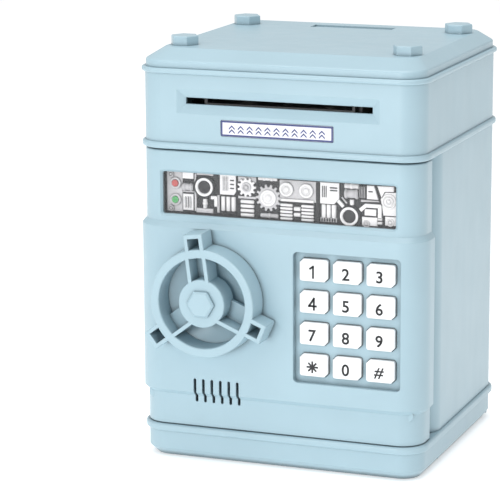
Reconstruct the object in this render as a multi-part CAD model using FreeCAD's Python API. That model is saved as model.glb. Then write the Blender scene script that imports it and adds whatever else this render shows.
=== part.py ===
import FreeCAD, Part
import math
import os
from FreeCAD import Vector

# A toy safe that swallows coins and banknotes: a square cabinet with a hinged front door
# (keypad, hand wheel, display window), a motor-fed note slot in the head and a coin slot
# in the lid. Millimetres. +X is to the right along the front, +Y goes into the depth and
# +Z is up; the origin is the middle of the footprint, on the surface the safe stands on.

# ---------------------------------------------------------------- driving dimensions
HALF_W = 66.0            # half width of the plain walls
HALF_D = 61.5            # half depth of the plain walls
CORNER_R = 11.0          # radius of the upright corners
WALL = 2.2               # moulded wall thickness
BEAD_OUT = 1.5           # how far the three beads stand out of the walls
SLIP = 0.2               # gap around pieces that slide on each other
RUN = 0.05               # radial clearance of a shaft in its bore

BASE_TOP = 15.9          # joint between base tray and body
HEAD_BOTTOM = 143.2      # joint between body and head
HEAD_FLOOR_TOP = HEAD_BOTTOM + 2.0
HEAD_TOP = 179.3         # joint between head and lid
LID_SHOULDER = 182.5     # top of the lid's upright edge
LID_TOP = 187.0          # flat top of the lid
CAP_TOP = 191.2          # top of the hexagonal bolt caps

BODY_FRONT = -38.5       # front plane of the body behind the door
JAMB = 2.0               # thickness of the body's front wall
DOOR_BOTTOM = 16.3
DOOR_TOP = 142.6
DOOR_REAR = -43.0        # rear edge of the door's side walls
PANEL_OUT = 2.3          # how far the middle panel stands proud of the door
PANEL_SIDE = 1.8         # the same at the door's sides
PANEL_WALL = 2.4
PANEL_Z = (30.5, 32.5, 108.2, 110.4)     # foot, lower edge, upper edge and ledge of the panel
HINGE = (-60.0, -47.0)   # upright hinge axis, x and y
PIN_R = 1.5

PLUG_HALF_W = 52.0       # inner box of the door, which fills the body's doorway
PLUG_Z = (23.0, 136.0)
PLUG_REAR = -31.0
DOORWAY_HALF_W = 54.0
DOORWAY_Z = (20.0, 139.0)

WHEEL = (-30.5, 77.0)    # hand-wheel axis, x and z
WHEEL_FRONT = -76.0
WHEEL_REAR = -64.4
RING_R = (20.5, 24.5)
HUB_R = 10.9
SPINDLE_R = 2.5
ARM_RIBS = {-22.5: (-1,), 97.5: (-1, 1), 217.5: (1,)}     # arm angle: sides that carry a rib
ARM_HALF_W = 4.9

RACK_MODULE = 1.0
PINION_TEETH = 12
BOLT_Z = 62.0            # underside of the latch bolt
BOLT_TIP = 50.6
BOLT_TRAVEL = 7.33
PLUNGER_X = 12.0
PLUNGER_Y = -36.6

KEY_SIZE = (13.3, 10.2)
KEY_PITCH = (15.5, 14.4)
KEYPAD_CENTRE = (33.15, 71.5)
KEY_NAMES = (("1", "2", "3"), ("4", "5", "6"), ("7", "8", "9"), ("star", "0", "hash"))
KEYPAD_X = (8.3, 58.0)
KEYPAD_Z = (41.6, 101.0)
KEYPAD_FLOOR = -60.8
KEY_FACE = -62.9
KEY_TRAVEL = 1.2

WINDOW_HALF_W = 54.7
WINDOW_Z = (113.6, 132.7)

NOTE_Z = 165.0           # plane in which a banknote enters
DRIVE_AXIS = (-44.0, 159.9)              # y and z
PINCH_AXIS = (-44.0, 169.1)
MOTOR_AXIS = (-29.0, 152.0)
TYRE_R = 5.0
PINCH_R = 4.0
TYRE_X = 20.0
GEAR_MODULE = 0.6
MOTOR_TEETH = 10
COMPOUND_TEETH = (28, 12)
DRIVE_TEETH = 26
BRACKET_X = (35.0, 37.0)
BRACKET_FOOT = 1.8       # thickness of the brackets' feet

LID_BOLTS = [(x, y) for x in (-52.5, 52.5) for y in (-38.5, 39.5)]
BODY_POSTS = [(x, y) for x in (-57.0, 57.0) for y in (-27.5, 52.0)]
COVER_SCREWS = [(-60.2, 30.0), (60.2, 30.0), (-60.2, 106.0), (60.2, 106.0), (0.0, 20.7), (0.0, 138.2)]
SPEAKER = (-28.65, 33.3)
LED_XZ = ((-50.0, 127.0), (-50.0, 119.5))
BATTERY_X = 28.5         # half length of the battery bay
BATTERY_Z = (85.5, 131.5)
BATTERY_SCREW = (0.0, 133.3)
AA_R = 7.25
AA_LENGTH = 50.5

DOOR_FRONT = -HALF_D
PANEL_FRONT = DOOR_FRONT - PANEL_OUT
DOOR_INSIDE = DOOR_FRONT + WALL
PANEL_INSIDE = PANEL_FRONT + PANEL_WALL
INNER_HALF_W = HALF_W - WALL


# ---------------------------------------------------------------- geometry helpers
def rounded_wire(u_range, v_range, radii, place):
    """Closed rectangle with its corners rounded; radii run from (low, low) counter-clockwise."""
    (u0, u1), (v0, v1) = u_range, v_range
    corners = ((u0, v0, 1, 1, 180), (u1, v0, -1, 1, 270), (u1, v1, -1, -1, 0), (u0, v1, 1, -1, 90))
    edges = []
    ends = []
    for (u, v, su, sv, start), r in zip(corners, radii):
        points = []
        for angle in (start, start + 45, start + 90):
            a = math.radians(angle)
            points.append(place(u + su * r + r * math.cos(a), v + sv * r + r * math.sin(a)))
        if r > 0:
            edges.append(Part.Arc(*points).toShape())
        ends.append((points[0], points[2]))
    for i, (_, leave) in enumerate(ends):
        edges.append(Part.makeLine(leave, ends[(i + 1) % 4][0]))
    return Part.Wire(Part.__sortEdges__(edges))


def outline_z(half_w, y_front, y_rear, r_front, r_rear, z):
    """Horizontal outline that is symmetric about x = 0."""
    radii = (r_front, r_front, r_rear, r_rear)
    return rounded_wire((-half_w, half_w), (y_front, y_rear), radii, lambda u, v: Vector(u, v, z))


def outline_y(x_range, z_range, radii, y):
    """Upright outline that faces the front."""
    return rounded_wire(x_range, z_range, radii, lambda u, v: Vector(u, y, v))


def prism_z(half_w, y_front, y_rear, r_front, r_rear, z0, z1):
    wire = outline_z(half_w, y_front, y_rear, r_front, r_rear, z0)
    return Part.Face(wire).extrude(Vector(0, 0, z1 - z0))


def plate_y(x_range, z_range, y0, y1, r=0.0):
    wire = outline_y(x_range, z_range, (r, r, r, r), y0)
    return Part.Face(wire).extrude(Vector(0, y1 - y0, 0))


def loft(wire_a, wire_b):
    return Part.makeLoft([wire_a, wire_b], True, True)


def box(x0, x1, y0, y1, z0, z1):
    return Part.makeBox(x1 - x0, y1 - y0, z1 - z0, Vector(x0, y0, z0))


def rod_x(r, y, z, x0, x1):
    return Part.makeCylinder(r, x1 - x0, Vector(x0, y, z), Vector(1, 0, 0))


def rod_y(r, x, z, y0, y1):
    return Part.makeCylinder(r, y1 - y0, Vector(x, y0, z), Vector(0, 1, 0))


def rod_z(r, x, y, z0, z1):
    return Part.makeCylinder(r, z1 - z0, Vector(x, y, z0), Vector(0, 0, 1))


def prism_from_points(points, direction):
    closed = list(points) + [points[0]]
    return Part.Face(Part.makePolygon(closed)).extrude(direction)


def hexagon_corners(radius):
    angles = [math.radians(60 * i) for i in range(6)]
    return [(radius * math.cos(a), radius * math.sin(a)) for a in angles]


def round_edges(shape, radius, chosen):
    """Fillet the edges for which chosen(bounding box) is true."""
    edges = [e for e in shape.Edges if chosen(e.BoundBox)]
    return shape.makeFillet(radius, edges)


def level(value, low, high):
    """True where an edge's extent lies wholly at one value."""
    return abs(low - value) < 0.01 and abs(high - value) < 0.01


def union(first, *others):
    return first.fuse(list(others)).removeSplitter()


def save(node, *solids):
    shape = solids[0] if len(solids) == 1 else Part.makeCompound(list(solids))
    shape.exportStep("parts/" + node + ".step")


# ---------------------------------------------------------------- cabinet
def bead(z0, z1):
    """A rounded band that runs all the way round the cabinet."""
    band = prism_z(HALF_W + BEAD_OUT, -HALF_D - BEAD_OUT, HALF_D + BEAD_OUT,
                   CORNER_R + BEAD_OUT, CORNER_R + BEAD_OUT, z0, z1)
    radius = min(1.1, (z1 - z0) * 0.4)
    return round_edges(band, radius, lambda b: level(z0, b.ZMin, b.ZMax) or level(z1, b.ZMin, b.ZMax))


def cabinet_block(z0, z1, inset=0.0):
    r = CORNER_R - inset
    return prism_z(HALF_W - inset, inset - HALF_D, HALF_D - inset, r, r, z0, z1)


def hinge_boss(z0, z1):
    return rod_z(3.4, HINGE[0], HINGE[1], z0, z1)


def ribbed_post(r, x, y, z0, z1):
    """Screw post and the rib that ties it to the side wall."""
    wall = math.copysign(HALF_W - 1.0, x)
    rib = box(min(x, wall), max(x, wall), y - 1, y + 1, z0, z1)
    return [rod_z(r, x, y, z0, z1), rib]


def make_base_tray():
    """Open tray that closes the safe from below and carries the door's lower pin."""
    floor_z = 2.5
    sill_z = BASE_TOP - 2.0
    foot_z = 4.0
    foot = loft(outline_z(HALF_W - 3.0, -HALF_D + 4.5, HALF_D - 3.5, 8.0, 8.0, 0),
                outline_z(HALF_W, -HALF_D, HALF_D, CORNER_R, CORNER_R, foot_z))
    tray = union(foot, cabinet_block(foot_z, BASE_TOP), bead(12.4, BASE_TOP))
    tray = tray.cut(cabinet_block(floor_z, sill_z, WALL))
    mouth = cabinet_block(floor_z, BASE_TOP + 1, WALL).cut(box(-70, 70, -70, -36, 0, 20))
    tray = tray.cut(mouth)
    posts = [piece for x, y in BODY_POSTS for piece in ribbed_post(4.2, x, y, floor_z - 0.5, BASE_TOP)]
    tray = union(tray, hinge_boss(floor_z - 1, sill_z + 1), *posts)
    holes = [rod_z(3.0, x, y, -1, 8) for x, y in BODY_POSTS]
    holes += [rod_z(1.6, x, y, 7, BASE_TOP + 1) for x, y in BODY_POSTS]
    holes.append(rod_z(PIN_R, HINGE[0], HINGE[1], 6, BASE_TOP + 1))
    save("base_tray", tray.cut(holes))


def screw(head_r, shank_r, length):
    """Pan-head screw with a cross recess: head below z = 0, shank above it."""
    head_h = 2.0
    arm, half_slot, depth = head_r * 0.62, 0.35, 0.9
    head = rod_z(head_r, 0, 0, -head_h, 0)
    head = round_edges(head, 0.5, lambda b: level(-head_h, b.ZMin, b.ZMax))
    cross = [box(-arm, arm, -half_slot, half_slot, -head_h - 1, depth - head_h),
             box(-half_slot, half_slot, -arm, arm, -head_h - 1, depth - head_h)]
    return union(head, rod_z(shank_r, 0, 0, 0, length)).cut(cross)


def screw_up(head_r, shank_r, x, y, seat_z, length):
    return screw(head_r, shank_r, length).translated(Vector(x, y, seat_z))


def screw_down(head_r, shank_r, x, y, seat_z, length):
    turned = screw(head_r, shank_r, length)
    turned.rotate(Vector(0, 0, 0), Vector(1, 0, 0), 180)
    return turned.translated(Vector(x, y, seat_z))


def screw_forward(head_r, shank_r, x, z, seat_y, length):
    """Screw driven in from behind, with its tip towards the front."""
    turned = screw(head_r, shank_r, length)
    turned.rotate(Vector(0, 0, 0), Vector(1, 0, 0), 90)
    return turned.translated(Vector(x, seat_y, z))


def make_case_screws():
    """Four screws from below into the body's posts and four from the head's floor."""
    from_below = [screw_up(2.8, 1.3, x, y, 8.0, 20.0) for x, y in BODY_POSTS]
    from_above = [screw_down(2.8, 1.3, x, y, HEAD_FLOOR_TOP, 14.0) for x, y in BODY_POSTS]
    save("case_screws", *from_below, *from_above)


def make_body_shell():
    """Side walls, back and the front wall with the doorway."""
    front_r = 10.25
    outer = prism_z(HALF_W, BODY_FRONT, HALF_D, front_r, CORNER_R, BASE_TOP, HEAD_BOTTOM)
    inner = prism_z(INNER_HALF_W, BODY_FRONT + JAMB, HALF_D - WALL, front_r - JAMB,
                    CORNER_R - WALL, BASE_TOP - 1, HEAD_BOTTOM + 1)
    posts = [piece for x, y in BODY_POSTS for piece in ribbed_post(4.2, x, y, BASE_TOP, HEAD_BOTTOM)]
    shell = union(outer.cut(inner), *posts)
    doorway = plate_y((-DOORWAY_HALF_W, DOORWAY_HALF_W), DOORWAY_Z, BODY_FRONT - 1,
                      BODY_FRONT + JAMB + 1, 2.0)
    bores = [rod_z(1.3, x, y, BASE_TOP - 1, 30) for x, y in BODY_POSTS]
    bores += [rod_z(1.3, x, y, 130, HEAD_BOTTOM + 1) for x, y in BODY_POSTS]
    save("body_shell", shell.cut([doorway] + bores))


def note_slot():
    """Bevelled recess and the slot through which a banknote enters."""
    depth = 2.0
    mouth = ((-47.3, 47.3), (NOTE_Z - 5.7, NOTE_Z + 5.2))
    throat = ((-43.5, 43.5), (NOTE_Z - 1.5, NOTE_Z + 1.4))
    square = (0, 0, 0, 0)
    bevel = loft(outline_y(*mouth, square, -HALF_D), outline_y(*throat, square, depth - HALF_D))
    slot = plate_y(*throat, depth - HALF_D - 0.1, DOOR_INSIDE + 2.0)
    front = plate_y(*mouth, -HALF_D - 2, -HALF_D)
    return [bevel, slot, front]


def make_head_housing():
    """Head above the door: walls, two beads, note slot and the posts for the lid screws."""
    soffit_top = HEAD_FLOOR_TOP
    head = union(cabinet_block(HEAD_BOTTOM, HEAD_TOP), bead(HEAD_BOTTOM, 146.2), bead(177.0, HEAD_TOP))
    head = head.cut(cabinet_block(soffit_top, HEAD_TOP + 1, WALL))
    pocket = cabinet_block(HEAD_BOTTOM - 1, soffit_top + 1, WALL)
    head = head.cut(pocket.cut(box(-70, 70, -70, BODY_FRONT + SLIP, 140, 150)))
    slot_frame = box(-48, 48, DOOR_INSIDE - 0.1, DOOR_INSIDE + 1.0, 158, 171.5)
    posts = [piece for x, y in LID_BOLTS for piece in ribbed_post(4.0, x, y, soffit_top, HEAD_TOP)]
    head = union(head, slot_frame, hinge_boss(soffit_top - 1, 152), *posts)
    bores = [rod_z(1.3, x, y, 166, HEAD_TOP + 1) for x, y in LID_BOLTS]
    bores.append(rod_z(PIN_R, HINGE[0], HINGE[1], HEAD_BOTTOM - 1, 151))
    seat = plate_y((-26.4, 26.4), (150.1, 157.5), -HALF_D - 1, -HALF_D + 0.3, 1.0)
    save("head_housing", head.cut(note_slot() + bores + [seat]))


def make_head_floor():
    """Floor of the head; notes and coins fall through its large opening."""
    gap = 0.2
    half_w = INNER_HALF_W - gap
    floor = prism_z(half_w, BODY_FRONT + SLIP + gap, HALF_D - WALL - gap, 0, CORNER_R - WALL,
                    HEAD_BOTTOM, HEAD_FLOOR_TOP)
    drop = box(-40, 40, -18, 52, 140, 150)
    holes = [rod_z(1.6, x, y, 140, 150) for x, y in BODY_POSTS]
    save("head_floor", floor.cut([drop] + holes))


def lid_block(inset, z0, z_shoulder, z_top):
    """Lid shape: an upright edge and a sloped shoulder up to the flat top."""
    edge = cabinet_block(z0, z_shoulder, inset)
    low = outline_z(HALF_W - inset, inset - HALF_D, HALF_D - inset, CORNER_R - inset,
                    CORNER_R - inset, z_shoulder)
    high = outline_z(60 - inset, inset - 50.0, 55.0 - inset, 8.5 - inset, 8.5 - inset, z_top)
    return edge, loft(low, high)


def make_top_lid():
    """Hollow lid with the coin slot near its rear edge."""
    edge, shoulder = lid_block(0.4, HEAD_TOP, LID_SHOULDER, LID_TOP)
    lid = union(edge, shoulder)
    for height in (LID_TOP, LID_SHOULDER):
        lid = round_edges(lid, 1.2, lambda b: level(height, b.ZMin, b.ZMax))
    lid = lid.cut(list(lid_block(2.4, HEAD_TOP - 1, LID_SHOULDER - 1, LID_TOP - 2.2)))
    posts = [rod_z(5.2, x, y, HEAD_TOP, LID_TOP - 2) for x, y in LID_BOLTS]
    lid = union(lid, *posts)
    cuts = [rod_z(3.6, x, y, 183.6, LID_TOP + 1) for x, y in LID_BOLTS]
    cuts += [rod_z(1.6, x, y, HEAD_TOP - 1, 184) for x, y in LID_BOLTS]
    cuts.append(box(-20, 20, 38, 46, LID_TOP - 0.8, LID_TOP + 1))
    cuts.append(box(-14.5, 14.5, 40.4, 43.6, LID_TOP - 6, LID_TOP))
    save("top_lid", lid.cut(cuts))


def make_lid_fasteners():
    """Hidden lid screws and the hexagonal caps that cover them."""
    save("lid_screws", *[screw_down(3.0, 1.3, x, y, 183.6, 15.6) for x, y in LID_BOLTS])
    caps = []
    for x, y in LID_BOLTS:
        ring = [Vector(x + u, y + v, LID_TOP) for u, v in hexagon_corners(6.6)]
        hexagon = prism_from_points(ring, Vector(0, 0, CAP_TOP - LID_TOP))
        hexagon = round_edges(hexagon, 0.6, lambda b: level(CAP_TOP, b.ZMin, b.ZMax))
        caps.append(union(hexagon, rod_z(3.55, x, y, 185.6, LID_TOP + 0.5)))
    save("lid_bolt_caps", *caps)


def make_slot_label():
    save("slot_label", plate_y((-26.2, 26.2), (150.3, 157.3), -HALF_D - 0.1, -HALF_D + 0.3, 0.9))


def make_hinge_pins():
    x, y = HINGE
    save("hinge_pins", rod_z(PIN_R, x, y, 6, 23), rod_z(PIN_R, x, y, 136, 151))


# ---------------------------------------------------------------- gears
def gear_x(teeth, module, y, z, x0, x1, tooth_angle):
    """Spur gear about an axis along X, with one tooth centred on tooth_angle (degrees, +Y to +Z)."""
    root = module * (teeth / 2 - 1.2)
    tip = module * (teeth / 2 + 0.8)
    pitch = 360.0 / teeth
    points = []
    for i in range(teeth):
        centre = tooth_angle + i * pitch
        for r, share in ((root, -0.29), (tip, -0.11), (tip, 0.11), (root, 0.29)):
            a = math.radians(centre + share * pitch)
            points.append(Vector(x0, y + r * math.cos(a), z + r * math.sin(a)))
    return prism_from_points(points, Vector(x1 - x0, 0, 0))


def compound_axis():
    """Axis of the double gear: the same distance from the motor's axis and the drive roller's."""
    my, mz = MOTOR_AXIS
    dy, dz = DRIVE_AXIS
    reach = GEAR_MODULE * (MOTOR_TEETH + COMPOUND_TEETH[0]) / 2
    span = math.hypot(dy - my, dz - mz)
    uy, uz = (dy - my) / span, (dz - mz) / span
    rise = math.sqrt(reach ** 2 - (span / 2) ** 2)
    return my + uy * span / 2 + uz * rise, mz + uz * span / 2 - uy * rise


def bearing(start, end):
    """Direction from one axis to another, in degrees from +Y towards +Z."""
    return math.degrees(math.atan2(end[1] - start[1], end[0] - start[0]))


def make_feed_gears():
    """Train from the motor through the double gear to the drive roller, in mesh at rest."""
    middle = compound_axis()
    to_motor = bearing(middle, MOTOR_AXIS)
    to_drive = bearing(middle, DRIVE_AXIS)
    big, small = COMPOUND_TEETH
    pinion = gear_x(MOTOR_TEETH, GEAR_MODULE, *MOTOR_AXIS, 38.0, 40.4, to_motor + 180)
    save("motor_pinion", pinion.cut(rod_x(0.75, *MOTOR_AXIS, 37, 42)))
    wheel = gear_x(big, GEAR_MODULE, *middle, 38.0, 40.4, to_motor + 180.0 / big)
    little = gear_x(small, GEAR_MODULE, *middle, 40.4, 44.0, to_drive)
    save("compound_gear", union(wheel, little).cut(rod_x(1.0 + RUN, *middle, 37, 45)))
    driven = gear_x(DRIVE_TEETH, GEAR_MODULE, *DRIVE_AXIS, 40.9, 43.8, to_drive + 180 + 180.0 / DRIVE_TEETH)
    save("drive_gear", driven.cut(rod_x(PIN_R, *DRIVE_AXIS, 40, 45)))


# ---------------------------------------------------------------- note feed
def make_feed_bracket(node, x0, x1, with_motor):
    """Side plate of the feed unit, with a foot; the right one also carries motor and idler."""
    foot_x = (x1, x1 + 5) if with_motor else (x0 - 5, x0)
    floor = HEAD_FLOOR_TOP
    plate = box(x0, x1, -54, -22, floor, 175)
    foot = box(foot_x[0], foot_x[1], -54, -22, floor, floor + BRACKET_FOOT)
    bores = [rod_x(PIN_R + RUN, *DRIVE_AXIS, x0 - 1, x1 + 1)]
    bores.append(rod_x(1.25 + RUN, *PINCH_AXIS, x0 - 1, x1 + 1))
    if with_motor:
        bores.append(rod_x(2.0, *MOTOR_AXIS, x0 - 1, x1 + 1))
        bores.append(rod_x(1.0, *compound_axis(), x0 - 1, x1 + 1))
    middle = (foot_x[0] + foot_x[1]) / 2
    bores += [rod_z(1.0, middle, y, floor - 1, floor + 3) for y in (-51, -25)]
    save(node, union(plate, foot).cut(bores))


def make_feed_screws():
    seat = HEAD_FLOOR_TOP + BRACKET_FOOT
    places = [(x, y) for x in (-39.5, 39.5) for y in (-51, -25)]
    save("feed_screws", *[screw_down(2.0, 1.0, x, y, seat, BRACKET_FOOT) for x, y in places])


def make_rollers():
    """Drive roller with two rubber tyres, and the pinch roller above it."""
    save("drive_shaft", rod_x(PIN_R, *DRIVE_AXIS, -38.5, 44.5))
    tyres = [rod_x(TYRE_R, *DRIVE_AXIS, x - 2.5, x + 2.5).cut(rod_x(PIN_R, *DRIVE_AXIS, x - 3, x + 3))
             for x in (-TYRE_X, TYRE_X)]
    save("drive_tyres", *tyres)
    save("pinch_shaft", rod_x(1.25, *PINCH_AXIS, -38.5, 38.5))
    wheels = [rod_x(PINCH_R, *PINCH_AXIS, x - 2.5, x + 2.5).cut(rod_x(1.25, *PINCH_AXIS, x - 3, x + 3))
              for x in (-TYRE_X, TYRE_X)]
    save("pinch_wheels", *wheels)


def make_bill_guide():
    """Tray that leads the note from the slot over the drive tyres."""
    half_w = BRACKET_X[0]
    front, rear = DOOR_INSIDE + 1.2, -24
    tray = box(-half_w, half_w, front, rear, NOTE_Z - 1.8, NOTE_Z - 0.8)
    flanges = [box(x, x + 1.2, front, rear, NOTE_Z - 0.8, NOTE_Z + 1.0) for x in (-half_w, half_w - 1.2)]
    y = DRIVE_AXIS[0]
    windows = [box(x - 3, x + 3, y - 4.6, y + 4.6, 160, 168) for x in (-TYRE_X, TYRE_X)]
    eye = rod_z(1.5, 0, -51, 160, 168)
    save("bill_guide", union(tray, *flanges).cut(windows + [eye]))


def make_ir_sensor():
    body = box(-3.5, 3.5, -54, -48, NOTE_Z - 5.0, NOTE_Z - 1.8)
    save("ir_sensor", union(body, rod_z(1.3, 0, -51, NOTE_Z - 2.0, NOTE_Z - 1.0)))


def make_feed_motor():
    """Small direct-current motor with a bored front boss for its shaft."""
    y, z = MOTOR_AXIS
    can = rod_x(6.0, y, z, 12, BRACKET_X[0]).common(box(10, 40, y - 6, y + 6, z - 5, z + 5))
    boss = rod_x(2.0, y, z, BRACKET_X[0] - 1, BRACKET_X[1])
    rear = rod_x(2.4, y, z, 10.5, 13)
    save("feed_motor", union(can, boss, rear).cut(rod_x(0.75 + RUN, y, z, 14, 40)))
    save("motor_shaft", rod_x(0.75, y, z, 14.5, 41.0))


def make_idler_axle():
    y, z = compound_axis()
    save("idler_axle", rod_x(1.0, y, z, BRACKET_X[0], 44.6))


# ---------------------------------------------------------------- door
def door_slab(front_shift, side_shift, z0, z1, rear=DOOR_REAR, r_rear=2.0):
    """Part of the door's outer block, larger than the plain door by the given shifts."""
    return prism_z(HALF_W + side_shift, DOOR_FRONT - front_shift, rear, CORNER_R + side_shift,
                   r_rear, z0, z1)


def door_outline(front_shift, side_shift, z):
    return outline_z(HALF_W + side_shift, DOOR_FRONT - front_shift, DOOR_REAR,
                     CORNER_R + side_shift, 2.0 + side_shift * 0.5, z)


def door_block():
    """Outside of the door: plain slab and the raised panel with its two sloped ledges."""
    foot, low, high, ledge = PANEL_Z
    slab = door_slab(0, 0, DOOR_BOTTOM, DOOR_TOP)
    proud = (PANEL_OUT, PANEL_SIDE)
    r_rear = 2.0 + PANEL_SIDE * 0.5
    panel = door_slab(*proud, low, high, r_rear=r_rear)
    lower = loft(door_outline(0, 0, foot), door_outline(*proud, low))
    upper = loft(door_outline(*proud, high), door_outline(0, 0, ledge))
    return union(slab, panel, lower, upper)


def door_hollow():
    """Inside of the door, open to the rear, with a deeper part behind the raised panel."""
    plain = prism_z(INNER_HALF_W, DOOR_INSIDE, DOOR_REAR + 5, CORNER_R - WALL, 0,
                    DOOR_BOTTOM + 2.0, DOOR_TOP - 2.0)
    grow = PANEL_SIDE - PANEL_WALL
    panel = prism_z(HALF_W + grow, PANEL_INSIDE, -50.5, CORNER_R + grow, 0,
                    PANEL_Z[1] + 2.0, PANEL_Z[2] - 1.7)
    return [plain, panel]


def window_cuts():
    """Bevelled edge and opening of the display window."""
    w = WINDOW_HALF_W
    low, high = WINDOW_Z
    outer = outline_y((-w - 1, w + 1), (low - 1, high + 1), (1, 1, 1, 1), DOOR_FRONT)
    inner = outline_y((-w, w), (low, high), (1, 1, 1, 1), DOOR_FRONT + 1.0)
    return [loft(outer, inner), plate_y((-w, w), (low, high), DOOR_FRONT + 0.9, DOOR_INSIDE + 1, 1.0)]


def keypad_layout():
    """Name and centre of each key, row by row."""
    for row, names in enumerate(KEY_NAMES):
        for column, name in enumerate(names):
            x = KEYPAD_CENTRE[0] + (column - 1) * KEY_PITCH[0]
            z = KEYPAD_CENTRE[1] + (1.5 - row) * KEY_PITCH[1]
            yield name, x, z


def key_prism(x, z, grow, y0, y1):
    """Key outline: two corners cut off at 45 degrees, the other two rounded."""
    half_w, half_h = KEY_SIZE[0] / 2 + grow, KEY_SIZE[1] / 2 + grow
    cut = 1.8 + grow * 0.5
    r = 1.2 + grow
    x0, x1, z0, z1 = x - half_w, x + half_w, z - half_h, z + half_h
    lean = r * (1 - math.sqrt(0.5))

    def at(x, z):
        return Vector(x, y0, z)

    low_left = Part.Arc(at(x0, z0 + r), at(x0 + lean, z0 + lean), at(x0 + r, z0)).toShape()
    high_right = Part.Arc(at(x1, z1 - r), at(x1 - lean, z1 - lean), at(x1 - r, z1)).toShape()
    edges = [low_left,
             Part.makeLine(at(x0 + r, z0), at(x1 - cut, z0)),
             Part.makeLine(at(x1 - cut, z0), at(x1, z0 + cut)),
             Part.makeLine(at(x1, z0 + cut), at(x1, z1 - r)),
             high_right,
             Part.makeLine(at(x1 - r, z1), at(x0 + cut, z1)),
             Part.makeLine(at(x0 + cut, z1), at(x0, z1 - cut)),
             Part.makeLine(at(x0, z1 - cut), at(x0, z0 + r))]
    return Part.Face(Part.Wire(edges)).extrude(Vector(0, y1 - y0, 0))


def keypad_cuts():
    """Recess of the keypad and the twelve holes in its floor."""
    recess = plate_y(KEYPAD_X, KEYPAD_Z, PANEL_FRONT - 1, KEYPAD_FLOOR, 2.0)
    holes = [key_prism(x, z, 0.25, KEYPAD_FLOOR - 1, KEYPAD_FLOOR + 4) for _, x, z in keypad_layout()]
    return [recess] + holes


def wheel_dish():
    """Shallow round hollow in the panel behind the hand wheel."""
    rim, depth = 20.5, 4.0
    r = (rim ** 2 + depth ** 2) / (2 * depth)
    return Part.makeSphere(r, Vector(WHEEL[0], PANEL_FRONT + depth - r, WHEEL[1]))


def speaker_slots():
    slots = []
    for i in range(6):
        x = -38.9 + i * 4.1
        slots.append(plate_y((x - 0.65, x + 0.65), (27.6, 39.0), PANEL_FRONT - 1, DOOR_INSIDE + 1, 0.64))
    return slots


def make_door_shell():
    """Door front: window, raised panel, keypad recess, dish for the wheel and speaker slots."""
    wx, wz = WHEEL
    shell = door_block()
    front = DOOR_FRONT
    shell = round_edges(shell, 0.8, lambda b: level(DOOR_TOP, b.ZMin, b.ZMax) and b.YMin < front + 1)
    shell = shell.cut(door_hollow())
    keypad_back = box(6, 60, PANEL_INSIDE - 0.2, KEYPAD_FLOOR + 2.0, 39.5, 103)
    dish_back = rod_y(23.5, wx, wz, PANEL_INSIDE - 0.2, -57.0)
    bush = rod_y(5.0, wx, wz, -58, -50)
    posts = [rod_y(2.8 if abs(x) > 1 else 2.2, x, z, DOOR_INSIDE - 0.5, -45) for x, z in COVER_SCREWS]
    bosses = [hinge_boss(DOOR_BOTTOM, 24), hinge_boss(135, DOOR_TOP)]
    shell = union(shell, keypad_back, dish_back, bush, *posts, *bosses)
    pilot = [rod_y(1.0, x, z, -56, -44) for x, z in COVER_SCREWS]
    hx, hy = HINGE
    bores = [rod_z(PIN_R + RUN, hx, hy, DOOR_BOTTOM - 1, 23.4),
             rod_z(PIN_R + RUN, hx, hy, 135.6, DOOR_TOP + 1)]
    spindle = [rod_y(SPINDLE_R + RUN, wx, wz, -70, -45)]
    shell = shell.cut(window_cuts() + keypad_cuts() + [wheel_dish()])
    save("door_shell", shell.cut(speaker_slots() + pilot + bores + spindle))


def make_gear_window():
    """Clear pane: a raised centre fills the opening and a flange lies behind the door's wall."""
    w, (low, high) = WINDOW_HALF_W, WINDOW_Z
    centre = plate_y((-w + 0.2, w - 0.2), (low + 0.2, high - 0.2), DOOR_FRONT + 1.0, DOOR_INSIDE + 0.2, 0.8)
    flange = plate_y((-w - 0.5, w + 0.5), (low - 2.1, high + 2.1), DOOR_INSIDE, DOOR_INSIDE + 1.2, 1.0)
    save("gear_window", union(centre, flange))


def make_mechanism_card():
    """Panel behind the window that shows the make-believe lock mechanism."""
    front = DOOR_INSIDE + 1.2
    card = plate_y((-57.2, 57.2), (111.5, 134.8), front, front + 2.6, 1.0)
    holes = [rod_y(1.55, x, z, front - 1, front + 4) for x, z in LED_XZ]
    save("mechanism_card", card.cut(holes))
    save("status_leds", *[rod_y(1.5, x, z, front + 0.1, front + 6) for x, z in LED_XZ])


def inner_cover_cuts():
    """Openings of the inner cover: battery bay, bolt slot, spindle seat, screws, hinge bosses."""
    wx, wz = WHEEL
    hx, hy = HINGE
    cuts = [box(-BATTERY_X, BATTERY_X, -51.3, PLUG_REAR + 1, *BATTERY_Z)]
    cuts.append(box(49, 53, -36.0, -32.9, BOLT_Z - SLIP, 70.2))
    cuts.append(rod_y(SPINDLE_R + RUN, wx, wz, -34, PLUG_REAR - 0.8))
    cuts += [rod_y(1.3, x, z, -46, -42) for x, z in COVER_SCREWS]
    cuts += [box(-64, hx + 4.2, -46, -42, 18, 25), box(-64, hx + 4.2, -46, -42, 134, 141)]
    x, z = BATTERY_SCREW
    cuts.append(rod_y(1.0, x, z, -38.2, PLUG_REAR + 1))
    cuts.append(battery_tab(SLIP))
    return cuts


def battery_tab(gap):
    """Screw tab on the upper edge of the battery cover, or its seat when gap is above zero."""
    half_w, top = 5.0 + gap, 134.8 + gap
    return box(-half_w, half_w, PLUG_REAR - 1.2, PLUG_REAR + (1 if gap > 0 else 0), BATTERY_Z[1] - 0.5, top)


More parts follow.
